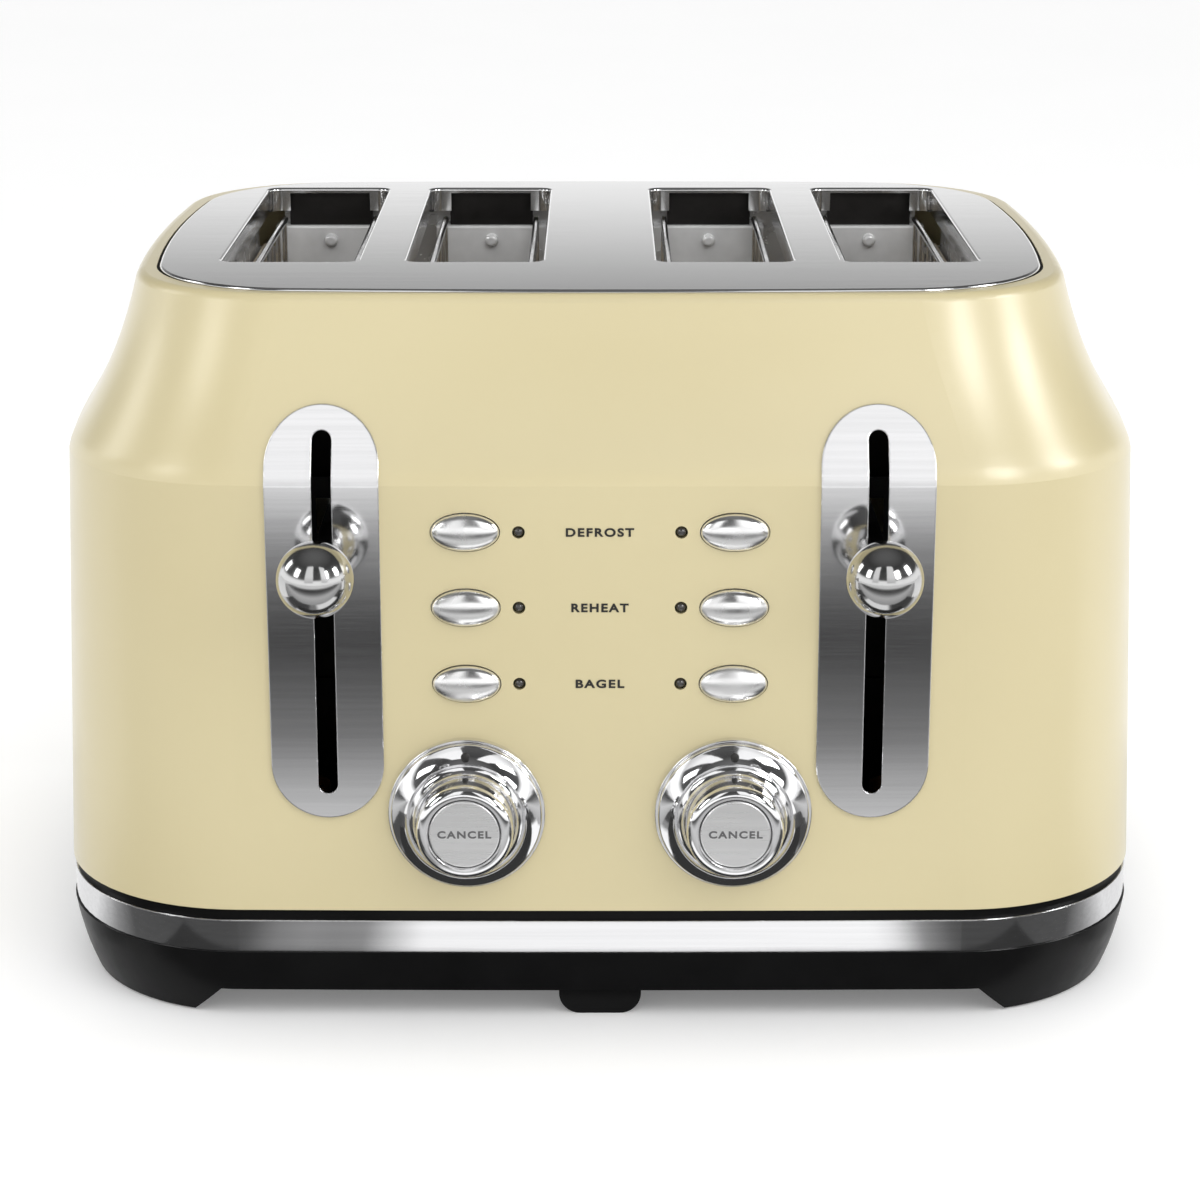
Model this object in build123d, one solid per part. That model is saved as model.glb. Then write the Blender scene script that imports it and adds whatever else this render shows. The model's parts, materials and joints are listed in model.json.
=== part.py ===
"""Four-slot pop-up toaster, built as the separate pieces it comes apart into.

Frame: millimetres, +Z up, the worktop at Z = 0, the front (levers and dials) at -Y, left and right along X.
The origin lies under the middle of the housing. The two toasting units are mirror images about X = 0.
"""

from build123d import *
from math import cos, exp, radians, sin, sqrt
import os

# ---- driving dimensions: housing ----
TOP_Z = 220.0            # upper face of the top plate
CREASE_Z = 167.3         # where the straight walls meet the shoulder
HOUSING_BOTTOM_Z = 37.0
RIM_Z = 219.3            # highest line of the painted housing
CREASE_HALF = (165.1, 126.1)
FLARE = (5.3, 4.1)       # how much further out the walls are at the bottom than at the crease
CREASE_CORNER = 57.0     # plan corner radius at the crease
TIGHTER = 9.0            # how much smaller the corner radius gets up the shoulder
TIGHTER_OVER = 7.0       # inset over which most of that happens
HOUSING_BOW = (7000.0, 815.0)   # plan radii of the slightly bowed front and sides
SHOULDER_OUT_R = 16.0    # convex lower arc of the shoulder
SHOULDER_START = 10.0    # lean just above the crease, degrees from vertical, so the crease shows
SHOULDER_IN_R = 143.0    # concave upper arc of the shoulder
SHOULDER_STEEP = 31.2    # steepest lean of the shoulder, degrees from vertical
SHOULDER_END = 12.0      # lean where the shoulder meets the rim, degrees from vertical
SIDE_INSET = 1.11        # the sides draw in this much more than the front does
RIM_FILLET = 3.0
WALL = 1.6
LEDGE_Z = (213.5, 215.3)  # flange inside the rim that carries the top plate
LEDGE_REACH = 3.6

# ---- driving dimensions: top plate and slots ----
PLATE_HALF = (137.0, 102.0)
PLATE_CORNER = 46.0
PLATE_BOW = (2000.0, 620.0)
PLATE_THICK = 1.2
GASKET_GAP = 0.9
SLOT_X = (38.4, 95.1)    # distance of each slot's middle from the toaster's middle
SLOT_SIZE = (41.8, 142.3)
SLOT_Y = 14.7
SLOT_CORNER = 4.0
COLLAR_BOTTOM_Z = 212.0
SLOT_WINDOW = 28.0       # gap in the collar at the back end of each slot
SHEET = 1.0              # thickness of the inner sheet metal

# ---- driving dimensions: base ----
BAND_Z = (22.9, 33.2)
COLLAR_HALF = (169.3, 128.4)
BAND_HALF = (170.1, 129.2)
BAND_THICK = 1.3
BASE_CORNER = 59.0
BASE_BOTTOM_Z = 9.5
FOOT_Z = 0.6             # underside of the plastic feet, just clear of the worktop
BASE_WALL = 2.6
FOOT_X = 124.0           # inner end of a corner foot, across and along
FOOT_Y = 84.0
PAD_R = 8.0
PAD_AT = (136.0, 98.0)
MIDDLE_FOOT_R = 10.0
DECK_Z = (33.0, 34.5)    # steel deck that carries the works

# ---- driving dimensions: controls ----
LEVER_X = 80.4
LEVER_Z = 146.6          # middle of the lever ball with the bread carriage at rest
BALL_R = 11.0
BALL_REACH = 23.4        # ball's middle in front of its steel plate
ARM = (4.0, 9.0)         # lever arm, across and tall
LEVER_PLATE = (33.2, 66.8, 189.3)   # width, lower end, upper end
LEVER_SLOT = (5.8, 74.3, 182.4)     # width, lower end, upper end
LEVER_PLATE_THICK = 1.0
BUTTON_X = 39.1
BUTTON_ROWS = {"defrost": 153.7, "reheat": 131.1, "bagel": 108.0}
BUTTON_SIZE = (19.8, 11.1)
BUTTON_DOME = 3.0
BUTTON_LIP_GAP = 0.9       # flange behind the wall, which leans and bows a little
BUTTON_TRAVEL = 1.8
LED_X = 23.6
LED_R = 1.55
DIAL_X = 39.5
DIAL_Z = 68.2
DIAL_R = 22.4
CANCEL_R = 10.4
CANCEL_TRAVEL = 2.0
SEAT_Y = -131.0          # front face of the dial's seat ring
BOARD_Y = (-110.0, -108.4)

# ---- driving dimensions: toasting units ----
UNIT_X = (11.0, 121.5)   # inner and outer face of a unit's sheet-metal box, from the middle
UNIT_Y = (-66.0, 95.0)
UNIT_TOP_Z = 211.0
CARRIAGE_DOWN = 62.0
CARRIAGE_UP = 20.0
GUIDE_OPEN = 16.0        # guide wires from the slot's middle, carriage at rest
GUIDE_Z = (84.0, 209.0)
ROD_AT = (66.75, -88.0)
ROD_R = 3.0
SPRING_R = 5.0
SPRING_WIRE_R = 0.55
SPRING_FOOT_Z = 46.0
BRACKET_Z = (132.0, 158.0)
RACK_Z = (140.0, 149.0)
HEATER_X = (14.3, 66.75, 118.6)
HEATER_Z = (76.0, 200.0)
TRAY_X = (15.0, 118.5)
TRAY_Z = (36.0, 46.0)
TRAY_FRONT_Y = -58.0
GLAND_Z = 58.0
GLAND_BORE_R = 3.75
CLEAR = 0.3


# ---- outlines and shells ----
def bowed_outline(half_x, half_y, corner, bow):
    """Edges of a rectangle with bowed sides and corner arcs tangent to them, middle at the origin."""
    front_bow, side_bow = bow
    front = Vector(0, front_bow - half_y)
    side = Vector(half_x - side_bow, 0)
    reach_front, reach_side = front_bow - corner, side_bow - corner
    across = side - front
    gap = across.length
    along = (reach_front**2 - reach_side**2 + gap**2) / (2 * gap)
    off = sqrt(reach_front**2 - along**2)
    unit = across.normalized()
    middle = front + unit * along + Vector(-unit.Y, unit.X) * off
    if middle.X < 0:
        middle = front + unit * along - Vector(-unit.Y, unit.X) * off
    t_front = front + (middle - front).normalized() * front_bow
    t_side = side + (middle - side).normalized() * side_bow
    t_mid = middle + ((t_front - middle) + (t_side - middle)).normalized() * corner
    edges = [
        ThreePointArc((-t_front.X, t_front.Y), (0, -half_y), (t_front.X, t_front.Y)),
        ThreePointArc((t_side.X, t_side.Y), (half_x, 0), (t_side.X, -t_side.Y)),
        ThreePointArc((t_front.X, -t_front.Y), (0, half_y), (-t_front.X, -t_front.Y)),
        ThreePointArc((-t_side.X, -t_side.Y), (-half_x, 0), (-t_side.X, t_side.Y)),
    ]
    corners = [
        ThreePointArc((t_front.X, t_front.Y), (t_mid.X, t_mid.Y), (t_side.X, t_side.Y)),
        ThreePointArc((t_side.X, -t_side.Y), (t_mid.X, -t_mid.Y), (t_front.X, -t_front.Y)),
        ThreePointArc((-t_front.X, -t_front.Y), (-t_mid.X, -t_mid.Y), (-t_side.X, -t_side.Y)),
        ThreePointArc((-t_side.X, t_side.Y), (-t_mid.X, t_mid.Y), (-t_front.X, t_front.Y)),
    ]
    return [e for pair in zip(edges, corners) for e in pair]


def section(half, corner, z, bow=HOUSING_BOW):
    """Bowed rectangle as a face at height z."""
    return Pos(0, 0, z) * make_face(bowed_outline(half[0], half[1], corner, bow))


def slab(half, corner, low, high, bow=HOUSING_BOW):
    """Bowed rectangle with upright sides between two heights."""
    return extrude(section(half, corner, low, bow), amount=high - low)


def plate_slab(by, low, high):
    """Slab with the outline of the top plate, grown or shrunk in plan by 'by'."""
    return slab(grown(PLATE_HALF, by), PLATE_CORNER + by, low, high, PLATE_BOW)


def grown(half, by):
    """Half sizes with the same amount added along X and Y."""
    return (half[0] + by, half[1] + by)


def housing_half(drop, by=0.0):
    """Half sizes of the straight walls, a share 'drop' of the way down from the crease to the bottom."""
    return tuple(half + flare * drop + by for half, flare in zip(CREASE_HALF, FLARE))


def shoulder_points():
    """(height, inset) down the shoulder's profile: a convex arc, a concave arc, then straight to the rim."""
    start, steep, end = radians(SHOULDER_START), radians(SHOULDER_STEEP), radians(SHOULDER_END)
    points = [(0.0, 0.0)]
    for i in range(1, 5):
        lean = start + (steep - start) * i / 4
        points.append((SHOULDER_OUT_R * (sin(lean) - sin(start)),
                       SHOULDER_OUT_R * (cos(start) - cos(lean))))
    rise, inset = points[-1]
    for i in range(1, 7):
        lean = steep + (end - steep) * i / 6
        points.append((rise + SHOULDER_IN_R * (sin(steep) - sin(lean)),
                       inset + SHOULDER_IN_R * (cos(lean) - cos(steep))))
    last_rise, last_inset = points[-1]
    height = RIM_Z - CREASE_Z
    points.append((height, last_inset + (height - last_rise) * sin(end) / cos(end)))
    return [(CREASE_Z + rise, inset) for rise, inset in points]


def housing_form(by=0.0, top=RIM_Z, rounded=False):
    """Solid inside the housing's outer surface, grown or shrunk in plan by 'by' and cut off at 'top'."""
    low = section(housing_half(1, by), CREASE_CORNER + 2 + by, HOUSING_BOTTOM_Z)
    crease = section(housing_half(0, by), CREASE_CORNER + by, CREASE_Z)
    walls = loft([low, crease], ruled=True)
    rings = []
    for z, inset in shoulder_points():
        half = (CREASE_HALF[0] + by - SIDE_INSET * inset, CREASE_HALF[1] + by - inset)
        corner = CREASE_CORNER + by - TIGHTER * (1 - exp(-inset / TIGHTER_OVER))
        rings.append(section(half, corner, z))
    shoulder = loft(rings)
    if rounded:
        shoulder = fillet(shoulder.faces().sort_by(Axis.Z)[-1].edges(), RIM_FILLET)
    form = walls + shoulder
    if top < RIM_Z:
        form &= Pos(0, 0, top / 2) * Box(800, 800, top)
    return form


def wall_y(x, z):
    """Y of the housing's outer front face at a point below the crease."""
    half_y = housing_half((CREASE_Z - z) / (CREASE_Z - HOUSING_BOTTOM_Z))[1]
    return -half_y + HOUSING_BOW[0] - sqrt(HOUSING_BOW[0]**2 - x**2)


# ---- small helpers ----
def box(x, y, z):
    """Box from its low and high values along each axis."""
    size = [max(v) - min(v) for v in (x, y, z)]
    at = [(min(v) + max(v)) / 2 for v in (x, y, z)]
    return Pos(*at) * Box(*size)


def rod_y(x, z, y_from, y_to, radius):
    """Cylinder along Y."""
    return Pos(x, (y_from + y_to) / 2, z) * Rot(90, 0, 0) * Cylinder(radius, abs(y_to - y_from))


def rod_z(x, y, z_from, z_to, radius):
    """Cylinder along Z."""
    return Pos(x, y, (z_from + z_to) / 2) * Cylinder(radius, abs(z_to - z_from))


def front_prism(sketch, x, z, y_from, y_to):
    """Sketch drawn as seen from the front, made solid between two Y values."""
    plane = Plane(origin=(x, y_to, z), x_dir=(1, 0, 0), z_dir=(0, -1, 0))
    return extrude(plane * sketch, amount=y_to - y_from)


def upright_slot(width, low, high):
    """Upright stadium, its own middle at the origin."""
    return Rot(0, 0, 90) * SlotOverall(high - low, width)


def both(make):
    """The same piece on the left and the right."""
    return {"left": make(-1), "right": make(1)}


def slots():
    """Slot number, side, and middle, counted from the left as seen from the front."""
    return [(1, -1, -SLOT_X[1]), (2, -1, -SLOT_X[0]), (3, 1, SLOT_X[0]), (4, 1, SLOT_X[1])]


def span(side, low, high):
    """X values of a stretch mirrored to its side."""
    return (side * low, side * high)


# ---- housing ----
def body_shell():
    outer = housing_form(rounded=True)
    hollow = housing_form(by=-WALL, top=LEDGE_Z[0])
    mouth = slab(housing_half(1, -WALL), CREASE_CORNER, HOUSING_BOTTOM_Z - 1, HOUSING_BOTTOM_Z)
    shell = outer - (hollow + mouth)
    shell -= plate_slab(GASKET_GAP, LEDGE_Z[1], TOP_Z + 5)
    shell -= plate_slab(-LEDGE_REACH, LEDGE_Z[0] - 5, TOP_Z)
    front = (-CREASE_HALF[1] - 20, -CREASE_HALF[1] + 20)
    width, low, high = LEVER_SLOT
    for side in (-1, 1):
        opening = upright_slot(width + 2.2, low - 1, high + 1)
        shell -= front_prism(opening, side * LEVER_X, (low + high) / 2, *front)
        for z in BUTTON_ROWS.values():
            oval = Ellipse(BUTTON_SIZE[0] / 2 + CLEAR, BUTTON_SIZE[1] / 2 + CLEAR)
            shell -= front_prism(oval, side * BUTTON_X, z, *front)
            shell -= rod_y(side * LED_X, z, *front, LED_R + CLEAR)
        shell -= rod_y(side * DIAL_X, DIAL_Z, *front, 11.0)
        tray_hole = (TRAY_X[0] - 0.7, TRAY_X[1] + 0.7)
        shell -= box(span(side, *tray_hole), (100, 150), (HOUSING_BOTTOM_Z - 2, TRAY_Z[1] + 1.5))
    shell -= rod_y(0, GLAND_Z, 110, 150, 7.0)
    return shell


def slot_sketches(grow=0.0):
    size = (SLOT_SIZE[0] + 2 * grow, SLOT_SIZE[1] + 2 * grow)
    return [Pos(x, SLOT_Y) * RectangleRounded(*size, SLOT_CORNER + grow) for _, _, x in slots()]


def top_plate():
    outer = plate_slab(0, LEDGE_Z[1], TOP_Z)
    outer = fillet(outer.faces().sort_by(Axis.Z)[-1].edges(), 0.8)
    plate = outer - plate_slab(-PLATE_THICK, LEDGE_Z[1] - 1, TOP_Z - PLATE_THICK)
    for rim, hole in zip(slot_sketches(SHEET), slot_sketches()):
        plate += Pos(0, 0, COLLAR_BOTTOM_Z) * extrude(rim, TOP_Z - PLATE_THICK - COLLAR_BOTTOM_Z)
        plate -= Pos(0, 0, COLLAR_BOTTOM_Z - 1) * extrude(hole, TOP_Z - COLLAR_BOTTOM_Z + 2)
    plate = fillet(plate.faces().sort_by(Axis.Z)[-1].inner_wires().edges(), 0.9)
    for _, _, x in slots():
        window = box((x - SLOT_WINDOW / 2, x + SLOT_WINDOW / 2), (84, 90), (COLLAR_BOTTOM_Z - 1, 218.2))
        plate -= window
    return plate


def top_gasket():
    low, high = LEDGE_Z[1], RIM_Z - 0.4
    return plate_slab(GASKET_GAP, low, high) - plate_slab(0, low - 1, high + 1)


# ---- base ----
def base_form():
    """Outer form of the base below the band, down to the feet."""
    corner = BASE_CORNER
    rings = [section(grown(BAND_HALF, 0.4), corner, BAND_Z[0]),
             section(grown(BAND_HALF, -1.4), corner - 1, 13.0),
             section(grown(BAND_HALF, -5.2), corner - 3, FOOT_Z)]
    return loft(rings)


def undercut(half_low, along_x):
    """Trapezoid bar that leaves feet with sloped inner ends; runs along X or Y."""
    rise = BASE_BOTTOM_Z - FOOT_Z
    low, high = half_low, half_low - rise
    points = [(-low, FOOT_Z), (low, FOOT_Z), (high, BASE_BOTTOM_Z), (-high, BASE_BOTTOM_Z)]
    below = [(-low, -5), (low, -5), (low, FOOT_Z), (-low, FOOT_Z)]
    plane = Plane.YZ if along_x else Plane.XZ
    bar = extrude(plane * make_face(Polyline(*points, close=True)), 400, both=True)
    return bar + extrude(plane * make_face(Polyline(*below, close=True)), 400, both=True)


def boss_places():
    corners = [(x, y) for x in (-112, 112) for y in (-112, 112)]
    return corners + [(-146, 0), (146, 0)]


def base_moulding():
    skirt = base_form() - undercut(FOOT_X, False) - undercut(FOOT_Y, True)
    neck = slab(grown(BAND_HALF, -BAND_THICK - 0.1), BASE_CORNER - BAND_THICK, *BAND_Z)
    collar = slab(COLLAR_HALF, BASE_CORNER, BAND_Z[1], HOUSING_BOTTOM_Z)
    base = skirt + neck + collar
    inside = grown(BAND_HALF, -BAND_THICK - BASE_WALL)
    base -= slab(inside, BASE_CORNER - BASE_WALL, BASE_BOTTOM_Z + BASE_WALL, HOUSING_BOTTOM_Z + 1)
    for x, y in boss_places():
        boss = rod_z(x, y, BASE_BOTTOM_Z + BASE_WALL - 0.5, DECK_Z[0], 5.0)
        base += boss
        base -= rod_z(x, y, 0, DECK_Z[1], 1.8)
        base -= rod_z(x, y, 0, BASE_BOTTOM_Z + 2.0, 3.6)
    for x in (-1, 1):
        for y in (-1, 1):
            base -= rod_z(x * PAD_AT[0], y * PAD_AT[1], 0, 2.6, PAD_R)
    for side in (-1, 1):
        tray_hole = (TRAY_X[0] - 0.7, TRAY_X[1] + 0.7)
        base -= box(span(side, *tray_hole), (100, 150), (DECK_Z[1], HOUSING_BOTTOM_Z + 1))
        for row in range(6):
            vent = Pos(side * 66.0, -50 + 20 * row) * SlotOverall(60, 4)
            base -= Pos(0, 0, BASE_BOTTOM_Z - 1) * extrude(vent, BASE_WALL + 2)
    return base


def base_trim_band():
    outer = slab(BAND_HALF, BASE_CORNER, *BAND_Z)
    return outer - slab(grown(BAND_HALF, -BAND_THICK), BASE_CORNER - BAND_THICK,
                        BAND_Z[0] - 1, BAND_Z[1] + 1)


def deck():
    """Steel deck plate inside the base, with the screw holes of the bosses."""
    half = grown(BAND_HALF, -BAND_THICK - BASE_WALL - 0.4)
    plate = slab(half, BASE_CORNER - 4, *DECK_Z)
    for x, y in boss_places():
        plate -= rod_z(x, y, 30, 40, 1.8)
    return plate


def base_screws():
    screws = []
    for x, y in boss_places():
        head = rod_z(x, y, BASE_BOTTOM_Z + 0.2, BASE_BOTTOM_Z + 2.0, 3.4)
        cross = box((x - 2, x + 2), (y - 0.4, y + 0.4), (9, 10.4))
        cross += box((x - 0.4, x + 0.4), (y - 2, y + 2), (9, 10.4))
        screws.append(head + rod_z(x, y, BASE_BOTTOM_Z + 2.0, DECK_Z[1], 1.75) - cross)
    return Compound(screws)


def foot_pads():
    pads = []
    for x in (-1, 1):
        for y in (-1, 1):
            pad = rod_z(x * PAD_AT[0], y * PAD_AT[1], 0, 2.6, PAD_R - 0.05)
            pads.append(chamfer(pad.faces().sort_by(Axis.Z)[0].edges(), 0.5))
    return Compound(pads)


def centre_feet():
    """Rounded blocks under the middle of the front and back edges, and a round foot under the middle."""
    feet = [rod_z(0, 0, 0, BASE_BOTTOM_Z, MIDDLE_FOOT_R)]
    for y in (-1, 1):
        block = box((-12.5, 12.5), (y * 100.0, y * 122.5), (0, BASE_BOTTOM_Z))
        low = block.edges().filter_by(Axis.Y).sort_by(Axis.Z)[:2]
        feet.append(fillet(low, 6.5))
    return Compound(feet)


def cord_gland():
    """Flanged bush in the back wall; its bore takes the mains lead."""
    back = -wall_y(0, GLAND_Z)
    flange = rod_y(0, GLAND_Z, back + 0.45, back + 3.3, 10.0)
    flange = fillet(flange.faces().sort_by(Axis.Y)[-1].edges(), 1.2)
    flange += rod_y(0, GLAND_Z, back - WALL - 0.5, back + 0.5, 6.8)
    flange += rod_y(0, GLAND_Z, back - WALL - 3.5, back - WALL - 0.5, 8.6)
    return flange - rod_y(0, GLAND_Z, 100, 150, GLAND_BORE_R)


# ---- toasting units ----
def chamber(side):
    """Four sheet-metal walls of one unit: front, back, outer and inner, as separate plates."""
    z = (DECK_Z[1], UNIT_TOP_Z)
    front = box(span(side, *UNIT_X), (UNIT_Y[0], UNIT_Y[0] + SHEET), z)
    back = box(span(side, *UNIT_X), (UNIT_Y[1] - SHEET, UNIT_Y[1]), z)
    y = (UNIT_Y[0] + SHEET, UNIT_Y[1] - SHEET)
    inner = box(span(side, UNIT_X[0], UNIT_X[0] + SHEET), y, z)
    outer = box(span(side, UNIT_X[1] - SHEET, UNIT_X[1]), y, z)
    slot_low, slot_high = RACK_Z[0] - CARRIAGE_DOWN - 2, RACK_Z[1] + CARRIAGE_UP + 2
    tray_gap = (TRAY_X[0] - 0.7, TRAY_X[1] + 0.7)
    back -= box(span(side, *tray_gap), (80, 100), (DECK_Z[1] - 1, TRAY_Z[1] + 1.5))
    clipped_corner = box(span(side, 112, 130), (86, 100), (198, UNIT_TOP_Z + 1))
    back -= clipped_corner
    outer -= clipped_corner
    for x in SLOT_X:
        front -= box(span(side, x - 2.5, x + 2.5), (-70, -60), (slot_low, slot_high))
        back -= box(span(side, x - 13, x + 13), (90, 100), (188, 203))
        for wall in (-1, 1):
            reach = (x + wall * (GUIDE_OPEN - 9.7), x + wall * (GUIDE_OPEN + 4.2))
            for level in GUIDE_Z:
                top = level + 1.8 if level < 100 else UNIT_TOP_Z + 1
                front -= box(span(side, *reach), (-80, -50), (level - 1.8, top))
            back -= box(span(side, *reach), (80, 110), (GUIDE_Z[0] - 1.8, GUIDE_Z[0] + 1.8))
    return Compound([front, back, inner, outer])


def end_reflectors():
    """Small bright plates with a rivet, just below the back edge of each slot."""
    plates = []
    for _, _, x in slots():
        width = (x - 19.4, x + 19.4)
        plate = box(width, (86.9, 87.7), (180, 206.4)) + box(width, (87.7, UNIT_Y[1] - SHEET), (205.6, 206.4))
        plate = fillet(plate.edges().filter_by(Axis.X).group_by(Axis.Z)[-1].sort_by(Axis.Y)[0], 0.7)
        rivet = rod_y(x, 201.4, 84.9, 86.9, 2.3)
        plate += fillet(rivet.faces().sort_by(Axis.Y)[0].edges(), 1.3)
        for pin in (-17, 17):
            plate += rod_y(x + pin, 197.0, 85.6, 86.9, 1.0)
        plates.append(plate)
    return Compound(plates)


def slot_backs():
    """Dark panels standing on the reflectors, seen through the gap in each slot's collar."""
    half = SLOT_WINDOW / 2 + 0.6
    return Compound([box((x - half, x + half), (89.5, 90.3), (206.4, 218.0)) for _, _, x in slots()])


def heater_boards(side):
    return Compound([box(span(side, x - 0.4, x + 0.4), (-58, 88), HEATER_Z) for x in HEATER_X])


def heater_wires(side):
    """Flat resistance ribbon wound round each board, one closed turn per level."""
    turns = []
    for x in HEATER_X:
        board = box(span(side, x - 0.4, x + 0.4), (-58, 88), HEATER_Z)
        for level in range(9):
            z = HEATER_Z[0] + 8 + level * 13.5
            turn = box(span(side, x - 0.7, x + 0.7), (-58.3, 88.3), (z, z + 1.8))
            turns.append(turn - board)
    return Compound(turns)


def bread_guide(x, wall):
    """Wire grille on one side of a slot: two long wires and seven upright ones."""
    at = x + wall * GUIDE_OPEN
    guide = rod_y(at, GUIDE_Z[0], -68.0, 97.0, 1.1) + rod_y(at, GUIDE_Z[1], -68.0, 85.4, 1.1)
    for i in range(7):
        guide += rod_z(at, -52 + 22.5 * i, GUIDE_Z[0], GUIDE_Z[1], 0.9)
    return guide


def bread_rack(x):
    """Rail that carries one slice, with short cross wires under the bread."""
    rack = box((x - 1.25, x + 1.25), (-78.5, 90), (RACK_Z[0], RACK_Z[1] - 1))
    for i in range(8):
        y = -50 + 18.5 * i
        rack += Pos(x, y, RACK_Z[1] - 1) * Rot(0, 90, 0) * Cylinder(1.0, 11.0)
    return rack


def carriage_bracket(side):
    """Front plate of the bread carriage with the bush that rides on the guide rod."""
    plate = box(span(side, 32, 101), (-80, -78.5), BRACKET_Z)
    bush = rod_z(side * ROD_AT[0], ROD_AT[1], *BRACKET_Z, 6.0)
    web = box(span(side, ROD_AT[0] - 4, ROD_AT[0] + 4), (-84, -79), BRACKET_Z)
    bore = rod_z(side * ROD_AT[0], ROD_AT[1], BRACKET_Z[0] - 1, BRACKET_Z[1] + 1, ROD_R + 0.06)
    return plate + bush + web - bore


def guide_rods():
    rods = []
    for side in (-1, 1):
        rod = rod_z(side * ROD_AT[0], ROD_AT[1], DECK_Z[1], 207, ROD_R)
        rod += rod_z(side * ROD_AT[0], ROD_AT[1], DECK_Z[1], SPRING_FOOT_Z, 6.5)
        rod += box(span(side, ROD_AT[0] - 5, ROD_AT[0] + 5), (-91, UNIT_Y[0]), (204, 207))
        rods.append(rod)
    return Compound(rods)


def carriage_spring(side):
    turns = 11
    height = BRACKET_Z[0] - SPRING_FOOT_Z - 2 * SPRING_WIRE_R - 0.2
    path = Helix(height / turns, height, SPRING_R)
    wire = sweep(Plane(path @ 0, z_dir=path % 0) * Circle(SPRING_WIRE_R), path)
    return Pos(side * ROD_AT[0], ROD_AT[1], SPRING_FOOT_Z + SPRING_WIRE_R + 0.1) * wire


def latch_keeper(side):
    """Iron plate under the bracket that the electromagnet holds when the bread is down."""
    return box(span(side, 84, 99), (-98, -78.5), (BRACKET_Z[0] - 3, BRACKET_Z[0]))


def electromagnets():
    magnets = []
    for side in (-1, 1):
        x, y, top = side * 91.5, -90.0, BRACKET_Z[0] - 3 - CARRIAGE_DOWN - 0.3
        magnet = rod_z(x, y, DECK_Z[1], top, 4.0) + rod_z(x, y, 40, top - 4, 8.0)
        magnet += box((x - 9, x + 9), (y - 9, y + 9), (DECK_Z[1], 38))
        magnets.append(magnet)
    return Compound(magnets)


# ---- controls ----
def lever_plate(side):
    """Steel plate round the lever's slot, bent to follow the housing."""
    width, low, high = LEVER_PLATE
    y = (-CREASE_HALF[1] - 20, -CREASE_HALF[1] + 40)
    outline = front_prism(upright_slot(width, low, high), side * LEVER_X, (low + high) / 2, *y)
    plate = (outline & housing_form(by=LEVER_PLATE_THICK)) - housing_form()
    width, low, high = LEVER_SLOT
    return plate - front_prism(upright_slot(width, low, high), side * LEVER_X, (low + high) / 2, *y)


def lever_arm(side):
    """Flat arm from the bracket out through the slot, with a round neck for the ball."""
    x = side * LEVER_X
    plate_y = wall_y(LEVER_X, LEVER_Z) - LEVER_PLATE_THICK
    ball_y = plate_y - BALL_REACH
    low, high = LEVER_Z - ARM[1] / 2, LEVER_Z + ARM[1] / 2
    arm = box((x - ARM[0] / 2, x + ARM[0] / 2), (plate_y - 4, -80), (low, high))
    arm += box((x - 6, x + 6), (-82, -80), (low - 1, high + 1))
    arm += Pos(x, plate_y - 7.9, LEVER_Z) * Rot(-90, 0, 0) * Cone(4.6, 3.6, 8.0)
    arm += rod_y(x, LEVER_Z, ball_y, plate_y - 8, 3.6)
    return arm


def lever_ball(side):
    """Ball pressed on the arm's neck."""
    x = side * LEVER_X
    plate_y = wall_y(LEVER_X, LEVER_Z) - LEVER_PLATE_THICK
    ball = Pos(x, plate_y - BALL_REACH, LEVER_Z) * Sphere(BALL_R)
    return ball - rod_y(x, LEVER_Z, plate_y - BALL_REACH, plate_y, 3.6)


def function_button(side, z):
    """Domed oval cap with a retaining flange and a stem that presses its switch."""
    x = side * BUTTON_X
    face = wall_y(BUTTON_X, z)
    half = (BUTTON_SIZE[0] / 2, BUTTON_SIZE[1] / 2)
    lip = face + WALL + BUTTON_LIP_GAP
    dome = scale(Sphere(1.0), by=(half[0], half[1], BUTTON_DOME))
    plane = Plane(origin=(x, face - 0.3, z), x_dir=(1, 0, 0), z_dir=(0, -1, 0))
    dome = plane * (dome & Pos(0, 0, 25) * Box(50, 50, 50))
    cap = front_prism(Ellipse(*half), x, z, face - 0.3, lip)
    flange = front_prism(Ellipse(half[0] + 1.8, half[1] + 1.8), x, z, lip, lip + 1.4)
    stem_end = BOARD_Y[0] - 5.6 - BUTTON_TRAVEL - 0.2
    return dome + cap + flange + rod_y(x, z, lip + 1.3, stem_end, 2.0)


def indicator_leds():
    leds = []
    for side in (-1, 1):
        for z in BUTTON_ROWS.values():
            x, tip = side * LED_X, wall_y(LED_X, z) - 0.2
            led = rod_y(x, z, tip + LED_R, BOARD_Y[0], LED_R)
            leds.append(led + Pos(x, tip + LED_R, z) * Sphere(LED_R))
    return Compound(leds)


def dial_seats():
    """Black rings between the dials and the leaning wall, with a bush through it."""
    seats = []
    for side in (-1, 1):
        x = side * DIAL_X
        ring = rod_y(x, DIAL_Z, SEAT_Y, SEAT_Y + 8, DIAL_R - 0.7) - housing_form(top=120)
        ring += rod_y(x, DIAL_Z, SEAT_Y, -118, 10.8)
        seats.append(ring - rod_y(x, DIAL_Z, SEAT_Y - 1, -100, 7.7))
    return Compound(seats)


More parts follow.
